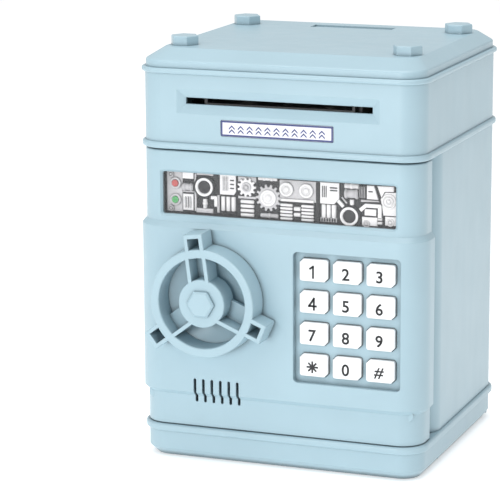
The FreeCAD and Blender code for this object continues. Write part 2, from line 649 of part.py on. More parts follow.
def make_door_inner_cover():
    """Rear of the door: flange, box that fills the doorway, battery bay and bolt guides."""
    w = PLUG_HALF_W
    low, high = PLUG_Z
    flange = plate_y((-INNER_HALF_W + 0.2, INNER_HALF_W - 0.2), (18.5, 140.4), -45, -43, 1.0)
    plug = plate_y((-w, w), PLUG_Z, -43, PLUG_REAR, 2.5)
    plug = round_edges(plug, 1.0, lambda b: level(PLUG_REAR, b.YMin, b.YMax))
    hollow = plate_y((-w + 2, w - 2), (low + 2, high - 2), -46, PLUG_REAR - 2, 1.0)
    bay_wall = 1.2
    bay = box(-BATTERY_X - bay_wall, BATTERY_X + bay_wall, -52.5, PLUG_REAR - 1,
              BATTERY_Z[0] - bay_wall, BATTERY_Z[1] + bay_wall)
    rear = PLUG_REAR - 1.5
    guides = [box(-46, -8, -39, rear, 60, BOLT_Z - SLIP), box(22, 48, -39, rear, 60, BOLT_Z - SLIP),
              box(8, 48, -39, rear, 70.2, 72)]
    boss = rod_y(2.2, *BATTERY_SCREW, -39.5, PLUG_REAR - 1.5)
    cover = union(union(flange, plug).cut(hollow), bay, boss, *guides)
    ledges = [box(x, x + 3, -35.2, -33.2, *BATTERY_Z) for x in (-BATTERY_X, BATTERY_X - 3)]
    save("door_inner_cover", union(cover.cut(inner_cover_cuts()), *ledges))


def make_cover_screws():
    save("cover_screws", *[screw_forward(2.2, 1.0, x, z, DOOR_REAR, 12.0) for x, z in COVER_SCREWS])


def make_battery_parts():
    """Three AA cells side by side, their contact plates and springs, and the screwed cover."""
    z_low, z_high = BATTERY_Z
    pitch = 15.2
    centre = (z_low + z_high) / 2
    cells, contacts = [], []
    for i in (-1, 0, 1):
        z = centre + i * pitch
        cell = rod_x(AA_R, -43.6, z, -AA_LENGTH / 2, AA_LENGTH / 2 - 1.2)
        nub = rod_x(2.7, -43.6, z, AA_LENGTH / 2 - 1.2, AA_LENGTH / 2)
        cell = union(cell, nub)
        spring = rod_x(2.8, -43.6, z, -BATTERY_X + 0.4, -AA_LENGTH / 2)
        plates = [box(-BATTERY_X, -BATTERY_X + 0.4, -49, -38, z - 5, z + 5),
                  box(BATTERY_X - 0.4, BATTERY_X, -49, -38, z - 5, z + 5)]
        stud = rod_x(2.8, -43.6, z, AA_LENGTH / 2, BATTERY_X - 0.4)
        group = [union(spring, plates[0]), union(stud, plates[1])]
        if i == 0:
            for piece in [cell] + group:
                piece.rotate(Vector(0, -43.6, z), Vector(0, 0, 1), 180)
        cells.append(cell)
        contacts += group
    save("aa_batteries", *cells)
    save("battery_contacts", *contacts)


def make_battery_door():
    """Cover of the battery bay with its tab, and the screw that holds it."""
    gap = 0.25
    low, high = BATTERY_Z
    half_w = BATTERY_X - gap
    plate = plate_y((-half_w, half_w), (low + gap, high - gap), PLUG_REAR - 2.2, PLUG_REAR)
    grip = [box(-9, 9, PLUG_REAR - 0.8, PLUG_REAR + 1, low + 4 + 2 * i, low + 5 + 2 * i) for i in range(4)]
    hole = rod_y(1.0 + RUN, *BATTERY_SCREW, PLUG_REAR - 3, PLUG_REAR + 1)
    save("battery_door", union(plate, battery_tab(0.0)).cut(grip + [hole]))
    save("battery_screw", screw_forward(1.45, 1.0, *BATTERY_SCREW, PLUG_REAR, 7.0))


def make_keypad_mat():
    """Silicone mat with one dome under each key."""
    mat = plate_y((9.5, 57.0), (43.0, 100.0), -55.8, -54.8, 2.0)
    domes = [rod_y(3.2, x, z, KEYPAD_FLOOR + 4.5, -55.5) for _, x, z in keypad_layout()]
    save("keypad_mat", union(mat, *domes))


def make_boards():
    """Main circuit board behind the keypad and the parts soldered to its rear."""
    save("main_board", plate_y((7.5, 57.0), (41.5, 102.0), -54.8, -53.2, 1.0))
    rear = -53.2
    chip = box(26, 40, rear, rear + 1.6, 62, 72)
    crystal = box(44, 50, rear, rear + 3.0, 48, 52)
    socket = box(12, 22, rear, rear + 4.5, 45, 49)
    can = rod_y(3.0, 48, 62, rear, rear + 6.5)
    buzzer_driver = box(30, 35, rear, rear + 1.6, 48, 52)
    save("board_parts", chip, crystal, socket, can, buzzer_driver)


def make_speaker():
    x, z = SPEAKER
    basket = rod_y(13.6, x, z, DOOR_INSIDE + 0.1, DOOR_INSIDE + 3.5)
    cone = Part.makeCone(13.0, 7.5, 2.0, Vector(x, DOOR_INSIDE + 3.5, z), Vector(0, 1, 0))
    magnet = rod_y(7.5, x, z, DOOR_INSIDE + 5.0, DOOR_INSIDE + 9.5)
    save("speaker", union(basket, cone, magnet))


# ---------------------------------------------------------------- hand wheel and lock
def along(angle, inner, outer, low, high, y0, y1):
    """Bar that points away from the wheel's axis at angle, between two radii and two offsets."""
    bar = box(inner, outer, y0, y1, low, high)
    bar.rotate(Vector(0, 0, 0), Vector(0, -1, 0), angle)
    bar.translate(Vector(WHEEL[0], 0, WHEEL[1]))
    return bar


def wheel_spoke(angle, sides):
    """A rear plate, and a rib up to the front face along each of the given sides."""
    rib = 1.7
    rear = along(angle, HUB_R - 1, RING_R[0] + 1, -ARM_HALF_W, ARM_HALF_W, -67.2, -65.2)
    bars = [rear]
    for side in sides:
        low = ARM_HALF_W - rib if side > 0 else -ARM_HALF_W
        bars.append(along(angle, HUB_R - 2, RING_R[0] + 1, low, low + rib, WHEEL_FRONT, -66))
    return bars


def wheel_loop(angle):
    """Square finger loop on the outside of the ring."""
    outer = along(angle, RING_R[1] - 1, 31.3, -4.5, 4.5, WHEEL_FRONT, WHEEL_REAR - 0.3)
    gap = along(angle, RING_R[1] - 2, 29.4, -2.7, 2.7, WHEEL_FRONT - 1, WHEEL_REAR + 1)
    outer = round_edges(outer, 0.5, lambda b: level(WHEEL_FRONT, b.YMin, b.YMax))
    return outer.cut(gap)


def make_hand_wheel():
    """Ring, hub, three ribbed spokes and three finger loops, moulded in one piece."""
    x, z = WHEEL
    front = WHEEL_FRONT

    def front_edge(b):
        return level(front, b.YMin, b.YMax)

    draft = 0.35
    ring = Part.makeCone(RING_R[1], RING_R[1] + draft, WHEEL_REAR - front, Vector(x, front, z),
                         Vector(0, 1, 0))
    ring = ring.cut(rod_y(RING_R[0], x, z, front - 1, WHEEL_REAR + 1))
    ring = round_edges(ring, 0.7, front_edge)
    hub = round_edges(rod_y(HUB_R, x, z, front, WHEEL_REAR - 0.4), 0.7, front_edge)
    loops = [wheel_loop(angle) for angle in ARM_RIBS]
    spokes = [bar for angle, sides in ARM_RIBS.items() for bar in wheel_spoke(angle, sides)]
    wheel = union(ring, hub, *loops, *spokes)
    cap_seat = rod_y(4.0, x, z, front - 1, front + 2)
    save("hand_wheel", wheel.cut([cap_seat, rod_y(SPINDLE_R, x, z, front + 1, -60)]))


def make_wheel_cap():
    """Hexagonal cap in the hub; its plug closes the spindle bore."""
    x, z = WHEEL
    front = WHEEL_FRONT
    rise = 2.0
    ring = [Vector(x + u, front, z + v) for u, v in hexagon_corners(6.5)]
    cap = prism_from_points(ring, Vector(0, -rise, 0))
    rim = [e for e in cap.Edges if level(front - rise, e.BoundBox.YMin, e.BoundBox.YMax)]
    cap = cap.makeChamfer(0.8, rim)
    save("wheel_cap", union(cap, rod_y(4.0, x, z, front - 0.5, front + 2.0)))


def make_spindle_parts():
    x, z = WHEEL
    groove = rod_y(SPINDLE_R + 1, x, z, -49.7, -49.0).cut(rod_y(1.9, x, z, -50, -48))
    spindle = rod_y(SPINDLE_R, x, z, WHEEL_FRONT + 2.0, -32.0).cut(groove)
    save("wheel_spindle", spindle)
    clip = rod_y(4.2, x, z, -49.65, -49.05).cut(rod_y(1.9, x, z, -50, -48))
    save("spindle_clip", clip.cut(box(x - 1.3, x + 1.3, -50, -48, z, z + 6)))


def make_latch_pinion():
    """Pinion on the spindle; the same tooth form as the note-feed gears, turned to run along Y."""
    x, z = WHEEL
    gear = gear_x(PINION_TEETH, RACK_MODULE, 0, 0, -38.4, -33.6, -90)
    gear.rotate(Vector(0, 0, 0), Vector(0, 0, 1), 90)
    gear.translate(Vector(x, 0, z))
    save("latch_pinion", gear.cut(rod_y(SPINDLE_R, x, z, -40, -30)))


def rack_teeth(x_centre, count, z_pitch, y0, y1):
    """Rack with a gap centred on x_centre; teeth point up."""
    pitch = math.pi * RACK_MODULE
    teeth = []
    for i in range(count):
        x = x_centre + (i - count / 2 + 0.5) * pitch
        profile = [Vector(x + share * pitch, y0, z_pitch + rise * RACK_MODULE)
                   for share, rise in ((-0.33, -1.4), (-0.1, 0.8), (0.1, 0.8), (0.33, -1.4))]
        teeth.append(prism_from_points(profile, Vector(0, y1 - y0, 0)))
    return teeth


def make_latch_bolt():
    """Sliding bolt: rack at the left, notches for the lock plunger, thin tongue at the right."""
    z_pitch = WHEEL[1] - RACK_MODULE * PINION_TEETH / 2
    rack_top = z_pitch - 1.25 * RACK_MODULE
    bar = box(-45.5, 42, -38.6, -33.2, BOLT_Z, rack_top)
    tongue = box(41, BOLT_TIP, -35.8, -33.2, BOLT_Z, rack_top)
    bolt = union(bar, tongue, *rack_teeth(WHEEL[0], 8, z_pitch, -38.6, -33.2))
    notch_x = (PLUNGER_X, PLUNGER_X - BOLT_TRAVEL)
    notches = [rod_z(1.8, x, PLUNGER_Y, BOLT_Z - 1, BOLT_Z + 3.6) for x in notch_x]
    save("latch_bolt", bolt.cut(notches))


def make_solenoid():
    """Lock solenoid with its plunger, which rises into a notch of the bolt."""
    x, y = PLUNGER_X, PLUNGER_Y
    body = box(x - 6.5, x + 6.5, -42.5, PLUG_REAR - 2.0, 38, 56)
    frame = box(x - 8, x + 8, -42.5, PLUG_REAR - 2.0, 37, 38)
    save("solenoid", union(body, frame).cut(rod_z(1.5 + RUN, x, y, 42, 57)))
    head = rod_z(2.4, x, y, 56.0, 57.0)
    save("solenoid_plunger", union(rod_z(1.5, x, y, 44, BOLT_Z - 0.4), head))


def make_keys():
    """Twelve keys: a rounded cap and a flange that keeps each one behind the door."""
    flange_y = KEYPAD_FLOOR + 2.2
    for name, x, z in keypad_layout():
        cap = key_prism(x, z, 0.0, KEY_FACE, flange_y + 0.5)
        cap = round_edges(cap, 0.6, lambda b: level(KEY_FACE, b.YMin, b.YMax))
        flange = box(x - 7.4, x + 7.4, flange_y, flange_y + 1.0, z - 6.0, z + 6.0)
        save("key_" + name, union(cap, flange))


# ---------------------------------------------------------------- assembly
os.makedirs("parts", exist_ok=True)
make_base_tray()
make_case_screws()
make_body_shell()
make_head_housing()
make_head_floor()
make_top_lid()
make_lid_fasteners()
make_slot_label()
make_hinge_pins()
make_feed_gears()
make_feed_bracket("feed_bracket_left", -BRACKET_X[1], -BRACKET_X[0], False)
make_feed_bracket("feed_bracket_right", *BRACKET_X, True)
make_feed_screws()
make_rollers()
make_bill_guide()
make_ir_sensor()
make_feed_motor()
make_idler_axle()
make_door_shell()
make_gear_window()
make_mechanism_card()
make_door_inner_cover()
make_cover_screws()
make_battery_parts()
make_battery_door()
make_keypad_mat()
make_boards()
make_speaker()
make_hand_wheel()
make_wheel_cap()
make_spindle_parts()
make_latch_pinion()
make_latch_bolt()
make_solenoid()
make_keys()
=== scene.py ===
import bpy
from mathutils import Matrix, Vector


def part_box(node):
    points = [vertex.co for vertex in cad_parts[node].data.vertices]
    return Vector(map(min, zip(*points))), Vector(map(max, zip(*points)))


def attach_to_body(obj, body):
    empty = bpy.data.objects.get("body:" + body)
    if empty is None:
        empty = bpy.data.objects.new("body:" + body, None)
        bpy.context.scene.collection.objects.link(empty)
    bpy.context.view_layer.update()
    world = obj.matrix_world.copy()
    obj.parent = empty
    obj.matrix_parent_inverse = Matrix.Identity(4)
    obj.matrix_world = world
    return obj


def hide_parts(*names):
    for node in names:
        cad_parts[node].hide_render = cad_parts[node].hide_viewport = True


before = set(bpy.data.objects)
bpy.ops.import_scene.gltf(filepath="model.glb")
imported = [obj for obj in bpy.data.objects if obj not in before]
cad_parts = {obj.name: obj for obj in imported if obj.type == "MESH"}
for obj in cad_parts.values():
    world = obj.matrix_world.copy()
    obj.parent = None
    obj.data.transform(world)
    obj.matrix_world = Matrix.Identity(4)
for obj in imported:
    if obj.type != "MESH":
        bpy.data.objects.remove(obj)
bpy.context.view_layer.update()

import math

import bmesh
import bpy
from mathutils import Matrix, Vector

# A pastel blue toy safe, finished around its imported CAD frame. Sizes of meshes are in
# millimetres in the CAD's own axes (+X right, +Y into the depth, +Z up) and become metres
# where a mesh is made. Sizes in materials, lights and the camera are in metres.
MM = 0.001

SKY = (0.350, 0.492, 0.560)
KEY_WHITE = (0.86, 0.875, 0.885)
INK = (0.006, 0.0065, 0.008)
NAVY = (0.030, 0.040, 0.130)
LAMP_RED = (0.45, 0.025, 0.02)
LAMP_GREEN = (0.03, 0.32, 0.07)
LAMP_SPLIT = 0.1232         # height between the red lamp and the green one below it

FINE_EDGE = 0.00012         # rounding that the light shows on the relief's edges


# ---------------------------------------------------------------- node helpers
class Nodes:
    """A new node material and short ways to add nodes to it."""

    def __init__(self, name):
        self.material = bpy.data.materials.new(name)
        self.material.use_nodes = True
        self.tree = self.material.node_tree
        self.shader = self.tree.nodes["Principled BSDF"]
        self.place = self.add("ShaderNodeTexCoord").outputs["Object"]

    def add(self, kind, **settings):
        node = self.tree.nodes.new(kind)
        for key, value in settings.items():
            setattr(node, key, value)
        return node

    def link(self, source, target):
        self.tree.links.new(source, target)

    def set(self, **values):
        """Constant values for the shader's own sockets."""
        for key, value in values.items():
            socket = self.shader.inputs[key.replace("_", " ")]
            socket.default_value = (*value, 1.0) if isinstance(value, tuple) else value

    def noise(self, scale, detail=3.0, stretch=(1.0, 1.0, 1.0)):
        """Noise with features about 1 / scale metres across."""
        mapping = self.add("ShaderNodeMapping")
        mapping.inputs["Scale"].default_value = stretch
        self.link(self.place, mapping.inputs["Vector"])
        noise = self.add("ShaderNodeTexNoise")
        noise.inputs["Scale"].default_value = scale
        noise.inputs["Detail"].default_value = detail
        self.link(mapping.outputs["Vector"], noise.inputs["Vector"])
        return noise.outputs["Fac"]

    def ramp(self, value, low, high, low_colour, high_colour):
        ramp = self.add("ShaderNodeValToRGB")
        ramp.color_ramp.elements[0].position = low
        ramp.color_ramp.elements[1].position = high
        ramp.color_ramp.elements[0].color = (*low_colour, 1.0)
        ramp.color_ramp.elements[1].color = (*high_colour, 1.0)
        self.link(value, ramp.inputs["Fac"])
        return ramp.outputs["Color"]

    def spread(self, value, low, high):
        """Map a 0.3 to 0.7 noise value to a range."""
        spread = self.add("ShaderNodeMapRange")
        spread.inputs["From Min"].default_value = 0.3
        spread.inputs["From Max"].default_value = 0.7
        spread.inputs["To Min"].default_value = low
        spread.inputs["To Max"].default_value = high
        self.link(value, spread.inputs["Value"])
        return spread.outputs["Result"]

    def bump(self, height, strength, depth, normal=None):
        bump = self.add("ShaderNodeBump")
        bump.inputs["Strength"].default_value = strength
        bump.inputs["Distance"].default_value = depth
        self.link(height, bump.inputs["Height"])
        if normal is not None:
            self.link(normal, bump.inputs["Normal"])
        return bump.outputs["Normal"]

    def paint_crease_shade(self, colour, reach, depth, own=False):
        """Darken a colour with painted shade where surfaces, or only the piece's own, meet within reach of
        each other.

        In the deepest crease the colour is depth times itself.
        """
        # Ambient occlusion drives this painted shade: the colour itself goes dark in creases, not through a
        # lamp.
        occlusion = self.add("ShaderNodeAmbientOcclusion", samples=8, only_local=own)
        occlusion.inputs["Distance"].default_value = reach
        shade = self.ramp(occlusion.outputs["AO"], 0.25, 0.85, (depth,) * 3, (1.0, 1.0, 1.0))
        mix = self.add("ShaderNodeMix", data_type="RGBA", blend_type="MULTIPLY")
        mix.inputs["Factor"].default_value = 1.0
        self.link(colour, mix.inputs["A"])
        self.link(shade, mix.inputs["B"])
        return mix.outputs["Result"]

    def soft_edges(self, radius):
        bevel = self.add("ShaderNodeBevel", samples=4)
        bevel.inputs["Radius"].default_value = radius
        return bevel.outputs["Normal"]


def darker(colour, share):
    return tuple(c * share for c in colour)


# ---------------------------------------------------------------- materials
def moulded_plastic(name, colour, roughness, grain=0.05, edge=0.0003, mottling=0.965,
                    crease=(0.003, 0.45), own=False, gloss=0.5):
    """Injection-moulded plastic: faint clouding, a fine spark-eroded grain, softened edges, painted shade in
    creases.

    crease is the reach and depth of the painted shade where surfaces meet.
    """
    n = Nodes(name)
    n.set(Specular_IOR_Level=gloss)
    clouds = n.ramp(n.noise(38.0, 4.0), 0.35, 0.65, darker(colour, mottling), colour)
    # Painted shade where surfaces meet darkens the clouded colour.
    n.link(n.paint_crease_shade(clouds, *crease, own), n.shader.inputs["Base Color"])
    smears = n.noise(120.0, 2.0, (1.0, 1.0, 0.35))
    n.link(n.spread(smears, roughness - 0.035, roughness + 0.035), n.shader.inputs["Roughness"])
    fine = n.noise(2600.0, 2.0)
    n.link(n.bump(fine, grain, 0.0001, n.soft_edges(edge)), n.shader.inputs["Normal"])
    return n.material


def metal(name, colour, roughness, stretch):
    """Drawn or turned metal with fine lines along one axis."""
    n = Nodes(name)
    lines = n.noise(900.0, 3.0, stretch)
    n.set(Metallic=1.0)
    n.link(n.ramp(lines, 0.3, 0.7, darker(colour, 0.86), colour), n.shader.inputs["Base Color"])
    n.link(n.spread(lines, roughness - 0.06, roughness + 0.08), n.shader.inputs["Roughness"])
    n.link(n.bump(lines, 0.12, 0.00008), n.shader.inputs["Normal"])
    return n.material


def rubber(name, colour):
    n = Nodes(name)
    dust = n.noise(260.0, 4.0)
    dusty = tuple(c + 0.03 for c in colour)
    n.link(n.ramp(dust, 0.4, 0.75, colour, dusty), n.shader.inputs["Base Color"])
    n.link(n.spread(dust, 0.62, 0.82), n.shader.inputs["Roughness"])
    n.link(n.bump(n.noise(1800.0), 0.25, 0.0002), n.shader.inputs["Normal"])
    return n.material


def clear_plastic(name):
    """Thin clear pane: mostly see-through, with a faint gloss and a few soft smears."""
    n = Nodes(name)
    smears = n.noise(60.0, 3.0, (1.0, 1.0, 2.5))
    n.set(Base_Color=(0.95, 0.98, 1.0), Alpha=0.04, IOR=1.49)
    n.link(n.spread(smears, 0.03, 0.10), n.shader.inputs["Roughness"])
    return n.material


def printed_film(name, colour, roughness=0.42):
    n = Nodes(name)
    fibres = n.noise(700.0, 4.0)
    n.link(n.ramp(fibres, 0.3, 0.7, darker(colour, 0.95), colour), n.shader.inputs["Base Color"])
    n.link(n.spread(fibres, roughness - 0.05, roughness + 0.05), n.shader.inputs["Roughness"])
    n.link(n.bump(fibres, 0.04, 0.00005), n.shader.inputs["Normal"])
    return n.material


def ink(name, colour):
    """Screen-printed ink with slightly uneven cover."""
    n = Nodes(name)
    cover = n.noise(1500.0, 3.0)
    worn = tuple(c * 1.6 + 0.004 for c in colour)
    n.link(n.ramp(cover, 0.3, 0.7, colour, worn), n.shader.inputs["Base Color"])
    n.link(n.spread(cover, 0.36, 0.5), n.shader.inputs["Roughness"])
    return n.material


def lamp_lens(name):
    """Tinted lens: red above the split between the two lamps, green below it."""
    n = Nodes(name)
    parts = n.add("ShaderNodeSeparateXYZ")
    n.link(n.place, parts.inputs["Vector"])
    above = n.add("ShaderNodeMath", operation="GREATER_THAN")
    above.inputs[1].default_value = LAMP_SPLIT
    n.link(parts.outputs["Z"], above.inputs[0])
    n.link(n.ramp(above.outputs["Value"], 0.0, 1.0, LAMP_GREEN, LAMP_RED), n.shader.inputs["Base Color"])
    n.link(n.spread(n.noise(300.0), 0.1, 0.2), n.shader.inputs["Roughness"])
    n.set(Coat_Weight=0.6)
    return n.material


def circuit_board(name):
    """Green solder mask over a stepped grid of copper tracks."""
    n = Nodes(name)
    brick = n.add("ShaderNodeTexBrick", offset=0.5)
    brick.inputs["Scale"].default_value = 420.0
    brick.inputs["Mortar Size"].default_value = 0.09
    brick.inputs["Color1"].default_value = (0.012, 0.115, 0.045, 1.0)
    brick.inputs["Color2"].default_value = (0.010, 0.095, 0.040, 1.0)
    brick.inputs["Mortar"].default_value = (0.035, 0.22, 0.075, 1.0)
    turn = n.add("ShaderNodeMapping")
    turn.inputs["Rotation"].default_value = (math.pi / 2, 0.0, 0.0)
    n.link(n.place, turn.inputs["Vector"])
    n.link(turn.outputs["Vector"], brick.inputs["Vector"])
    n.link(brick.outputs["Color"], n.shader.inputs["Base Color"])
    n.link(n.spread(n.noise(500.0), 0.25, 0.4), n.shader.inputs["Roughness"])
    return n.material


def battery_wrap(name):
    """Dark shrink sleeve of a cell, with a soft gloss."""
    n = Nodes(name)
    sleeve = n.ramp(n.noise(500.0), 0.3, 0.7, (0.02, 0.022, 0.03), (0.035, 0.037, 0.05))
    n.link(sleeve, n.shader.inputs["Base Color"])
    n.link(n.spread(n.noise(90.0), 0.18, 0.3), n.shader.inputs["Roughness"])
    n.set(Coat_Weight=0.3)
    return n.material


MATERIALS = {
    # Each moulded plastic here has painted shade where surfaces meet, set by its crease reach and depth.
    "sky_abs": moulded_plastic("sky_abs", SKY, 0.33, edge=0.0004),
    "sky_abs_inner": moulded_plastic("sky_abs_inner", darker(SKY, 0.95), 0.45, grain=0.09),
    "key_abs": moulded_plastic("key_abs", KEY_WHITE, 0.30, grain=0.03, edge=0.00025, mottling=0.985),
    "black_abs": moulded_plastic("black_abs", (0.016, 0.017, 0.019), 0.45, grain=0.1),
    "nylon": moulded_plastic("nylon", (0.72, 0.70, 0.63), 0.42, grain=0.06),
    "steel": metal("steel", (0.58, 0.58, 0.60), 0.34, (1.0, 1.0, 0.06)),
    "zinc": metal("zinc", (0.66, 0.67, 0.70), 0.28, (1.0, 0.1, 1.0)),
    "brass": metal("brass", (0.73, 0.53, 0.24), 0.3, (0.1, 1.0, 1.0)),
    "black_rubber": rubber("black_rubber", (0.018, 0.018, 0.019)),
    "silicone": rubber("silicone", (0.45, 0.46, 0.46)),
    "pane": clear_plastic("pane"),
    "label_film": printed_film("label_film", (0.80, 0.81, 0.90)),
    "board": circuit_board("board"),
    "cell_wrap": battery_wrap("cell_wrap"),
    "led": lamp_lens("led"),
    "digit_ink": ink("digit_ink", INK),
    "navy_ink": ink("navy_ink", NAVY),
    # The relief's plastics get deep painted shade in their own creases, which draws dark outlines beside
    # each feature.
    "silver": moulded_plastic("silver", (0.60, 0.59, 0.61), 0.30, grain=0.12, edge=FINE_EDGE,
                              mottling=0.86, crease=(0.0016, 0.06), own=True),
    "pale_silver": moulded_plastic("pale_silver", (0.86, 0.85, 0.86), 0.26, grain=0.06, edge=FINE_EDGE,
                                   mottling=0.93, crease=(0.0012, 0.08), own=True),
    "shadow_grey": moulded_plastic("shadow_grey", (0.014, 0.013, 0.016), 0.5, grain=0.15, edge=0.0001,
                                   mottling=0.7, crease=(0.001, 0.3), own=True, gloss=0.2),
}

NODE_MATERIALS = {
    "sky_abs": ("base_tray", "body_shell", "head_housing", "top_lid", "lid_bolt_caps", "door_shell",
                "hand_wheel", "wheel_cap"),
    "sky_abs_inner": ("head_floor", "door_inner_cover", "battery_door"),
    "key_abs": tuple(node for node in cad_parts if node.startswith("key_")),
    "black_abs": ("bill_guide", "board_parts", "ir_sensor", "speaker", "feed_bracket_left",
                  "feed_bracket_right"),
    "nylon": ("compound_gear", "drive_gear", "latch_pinion", "latch_bolt", "pinch_wheels"),
    "steel": ("case_screws", "lid_screws", "feed_screws", "cover_screws", "battery_screw", "hinge_pins",
              "idler_axle", "drive_shaft", "pinch_shaft", "motor_shaft", "wheel_spindle", "spindle_clip",
              "solenoid_plunger"),
    "zinc": ("feed_motor", "solenoid", "battery_contacts"),
    "brass": ("motor_pinion",),
    "black_rubber": ("drive_tyres",),
    "silicone": ("keypad_mat",),
    "pane": ("gear_window",),
    "label_film": ("slot_label",),
    "board": ("main_board",),
    "cell_wrap": ("aa_batteries",),
    "led": ("status_leds",),
}


def paint_frame():
    for key, nodes in NODE_MATERIALS.items():
        for node in nodes:
            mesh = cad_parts[node].data
            mesh.materials.clear()
            mesh.materials.append(MATERIALS[key])


# ---------------------------------------------------------------- mesh helpers
class Sculpt:
    """Collects simple bevelled solids, in millimetres, into one mesh piece."""

    def __init__(self, name, materials):
        self.name = name
        self.mesh = bmesh.new()
        self.materials = materials

    def face(self, corners, slot):
        face = self.mesh.faces.new(corners)
        face.material_index = slot
        face.smooth = False
        return face

    def strip(self, low, high, slot, smooth=False):
        """Join two closed rings of vertices with quads."""
        for i in range(len(low)):
            j = (i + 1) % len(low)
            self.face((low[i], low[j], high[j], high[i]), slot).smooth = smooth

    def ring(self, points):
        return [self.mesh.verts.new(Vector(p) * MM) for p in points]

    def slab(self, outline, front, rear, slot, bevel=0.15):
        """Plate with an (x, z) outline, counter-clockwise from the front, and a bevelled front edge."""
        small = inset(outline, bevel)
        back = self.ring((x, rear, z) for x, z in outline)
        edge = self.ring((x, front + bevel, z) for x, z in outline)
        face = self.ring((x, front, z) for x, z in small)
        self.strip(back, edge, slot)
        self.strip(edge, face, slot)
        self.face(face, slot)
        self.face(list(reversed(back)), slot)

    def lathe(self, centre, axis, profile, slot, segments=40):
        """Solid of revolution; profile is a list of (distance along axis, radius)."""
        rings = []
        for along, radius in profile:
            points = []
            for i in range(segments):
                a = 2 * math.pi * i / segments
                side, rise = radius * math.cos(a), radius * math.sin(a)
                offset = {"x": (along, side, rise), "y": (rise, along, side), "z": (side, rise, along)}[axis]
                points.append(Vector(centre) + Vector(offset))
            rings.append(self.ring(points))
        for low, high in zip(rings, rings[1:]):
            self.strip(low, high, slot, smooth=True)
        self.face(list(reversed(rings[0])), slot)
        self.face(rings[-1], slot)

    def finish(self, body, replaces=()):
        bmesh.ops.recalc_face_normals(self.mesh, faces=self.mesh.faces)
        data = bpy.data.meshes.new(self.name)
        self.mesh.to_mesh(data)
        self.mesh.free()
        for key in self.materials:
            data.materials.append(MATERIALS[key])
        return attach(self.name, data, body, replaces)


def attach(name, data, body, replaces=()):
    piece = bpy.data.objects.new(name, data)
    bpy.context.scene.collection.objects.link(piece)
    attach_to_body(piece, body)
    if replaces:
        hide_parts(*replaces)
    return piece


def inset(outline, distance):
    """Move every side of a counter-clockwise outline inwards by the same distance."""
    count = len(outline)
    result = []
    for i in range(count):
        before, here, after = (Vector(outline[(i + k) % count]) for k in (-1, 0, 1))
        first = (here - before).normalized()
        second = (after - here).normalized()
        normal_a = Vector((-first.y, first.x))
        normal_b = Vector((-second.y, second.x))
        share = distance / max(0.35, 1 + normal_a.dot(normal_b))
        result.append(tuple(here + (normal_a + normal_b) * share))
    return result


def rectangle(x, z, width, height):
    w, h = width / 2, height / 2
    return [(x - w, z - h), (x + w, z - h), (x + w, z + h), (x - w, z + h)]


def circle(x, z, radius, count):
    angles = [2 * math.pi * i / count for i in range(count)]
    return [(x + radius * math.cos(a), z + radius * math.sin(a)) for a in angles]


def cog(x, z, inner, outer, teeth):
    """Outline of a gear wheel with flat-topped teeth."""
    points = []
    for i in range(teeth):
        for share, radius in ((-0.30, inner), (-0.17, outer), (0.17, outer), (0.30, inner)):
            a = 2 * math.pi * (i + share) / teeth
            points.append((x + radius * math.cos(a), z + radius * math.sin(a)))
    return points


# ---------------------------------------------------------------- mechanism behind the window
CARD_LOW, CARD_HIGH = (tuple(v / MM for v in corner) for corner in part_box("mechanism_card"))
CARD_FRONT, CARD_REAR = CARD_LOW[1], CARD_HIGH[1]
FLOOR = CARD_REAR - 0.7      # face of the dark ground plate
SILVER, PALE, DARK = 0, 1, 2


def front(height):
    """Depth of a relief face that stands the given height above the ground plate."""
    return max(CARD_FRONT + 0.03, FLOOR - height)


def plate(s, outline, height, slot=SILVER, bevel=0.2):
    s.slab(outline, front(height), FLOOR + 0.1, slot, bevel)


def dial(s, x, z, radii, height, slot=PALE):
    """Concentric ridges, from the outside inwards, on a round boss."""
    face = front(height)
    profile = [(FLOOR + 0.1, radii[0]), (face + 0.15, radii[0]), (face, radii[0] - 0.15)]
    for i, radius in enumerate(radii[1:]):
        sunk = face + (0.45 if i % 2 == 0 else 0.0)
        profile += [(profile[-1][0], radius + 0.12), (sunk, radius)]
    profile.append((profile[-1][0], 0.05))
    s.lathe((x, 0, z), "y", profile, slot)


def pipe(s, x, z, axis, length, radius, slot=PALE, bands=()):
    """Half-sunk pipe; bands are shares of its length where a collar sits."""
    collar = radius * 1.18
    profile = [(-length / 2, radius * 0.8), (-length / 2 + 0.25, radius)]
    for band in bands:
        at = (band - 0.5) * length
        profile += [(at - 0.5, radius), (at - 0.45, collar), (at + 0.45, collar), (at + 0.5, radius)]
    profile += [(length / 2 - 0.25, radius), (length / 2, radius * 0.8)]
    s.lathe((x, FLOOR - 0.15, z), axis, profile, slot)


def thread(s, x, z, width, height, turns, slot=PALE):
    """Stack of rounded ribs, like a spring housing seen from the side."""
    pitch = height / turns
    rib = pitch * 0.42
    end = width / 2
    profile = [(-end, rib * 0.5), (-end + 0.3, rib), (end - 0.3, rib), (end, rib * 0.5)]
    depth = FLOOR - 1.45 + rib
    for i in range(turns):
        at = z - height / 2 + (i + 0.5) * pitch
        s.lathe((x, depth, at), "x", profile, slot, segments=16)
    s.slab(rectangle(x, z, width - 1.0, height), depth + 0.1, FLOOR + 0.1, DARK, 0.1)


def lens(s, x, z):
    """Large round gauge with a dark seat, a pale rim and a dark domed glass."""
    face = front(1.9)
    seat = [(FLOOR + 0.1, 5.2), (face + 0.9, 5.2), (face + 0.7, 5.0), (face + 0.7, 4.5),
            (face + 1.0, 4.4), (face + 1.0, 0.05)]
    rim = [(face + 1.0, 4.2), (face + 0.15, 4.2), (face, 4.0), (face, 3.4), (face + 0.5, 3.15),
           (face + 0.6, 0.05)]
    angles = (1.57, 1.3, 1.0, 0.7, 0.35, 0.03)
    dome = [(face + 0.7 - 0.65 * math.cos(a), 3.1 * math.sin(a)) for a in angles]
    for profile, slot in ((seat, DARK), (rim, PALE), (dome, DARK)):
        s.lathe((x, 0, z), "y", profile, slot)


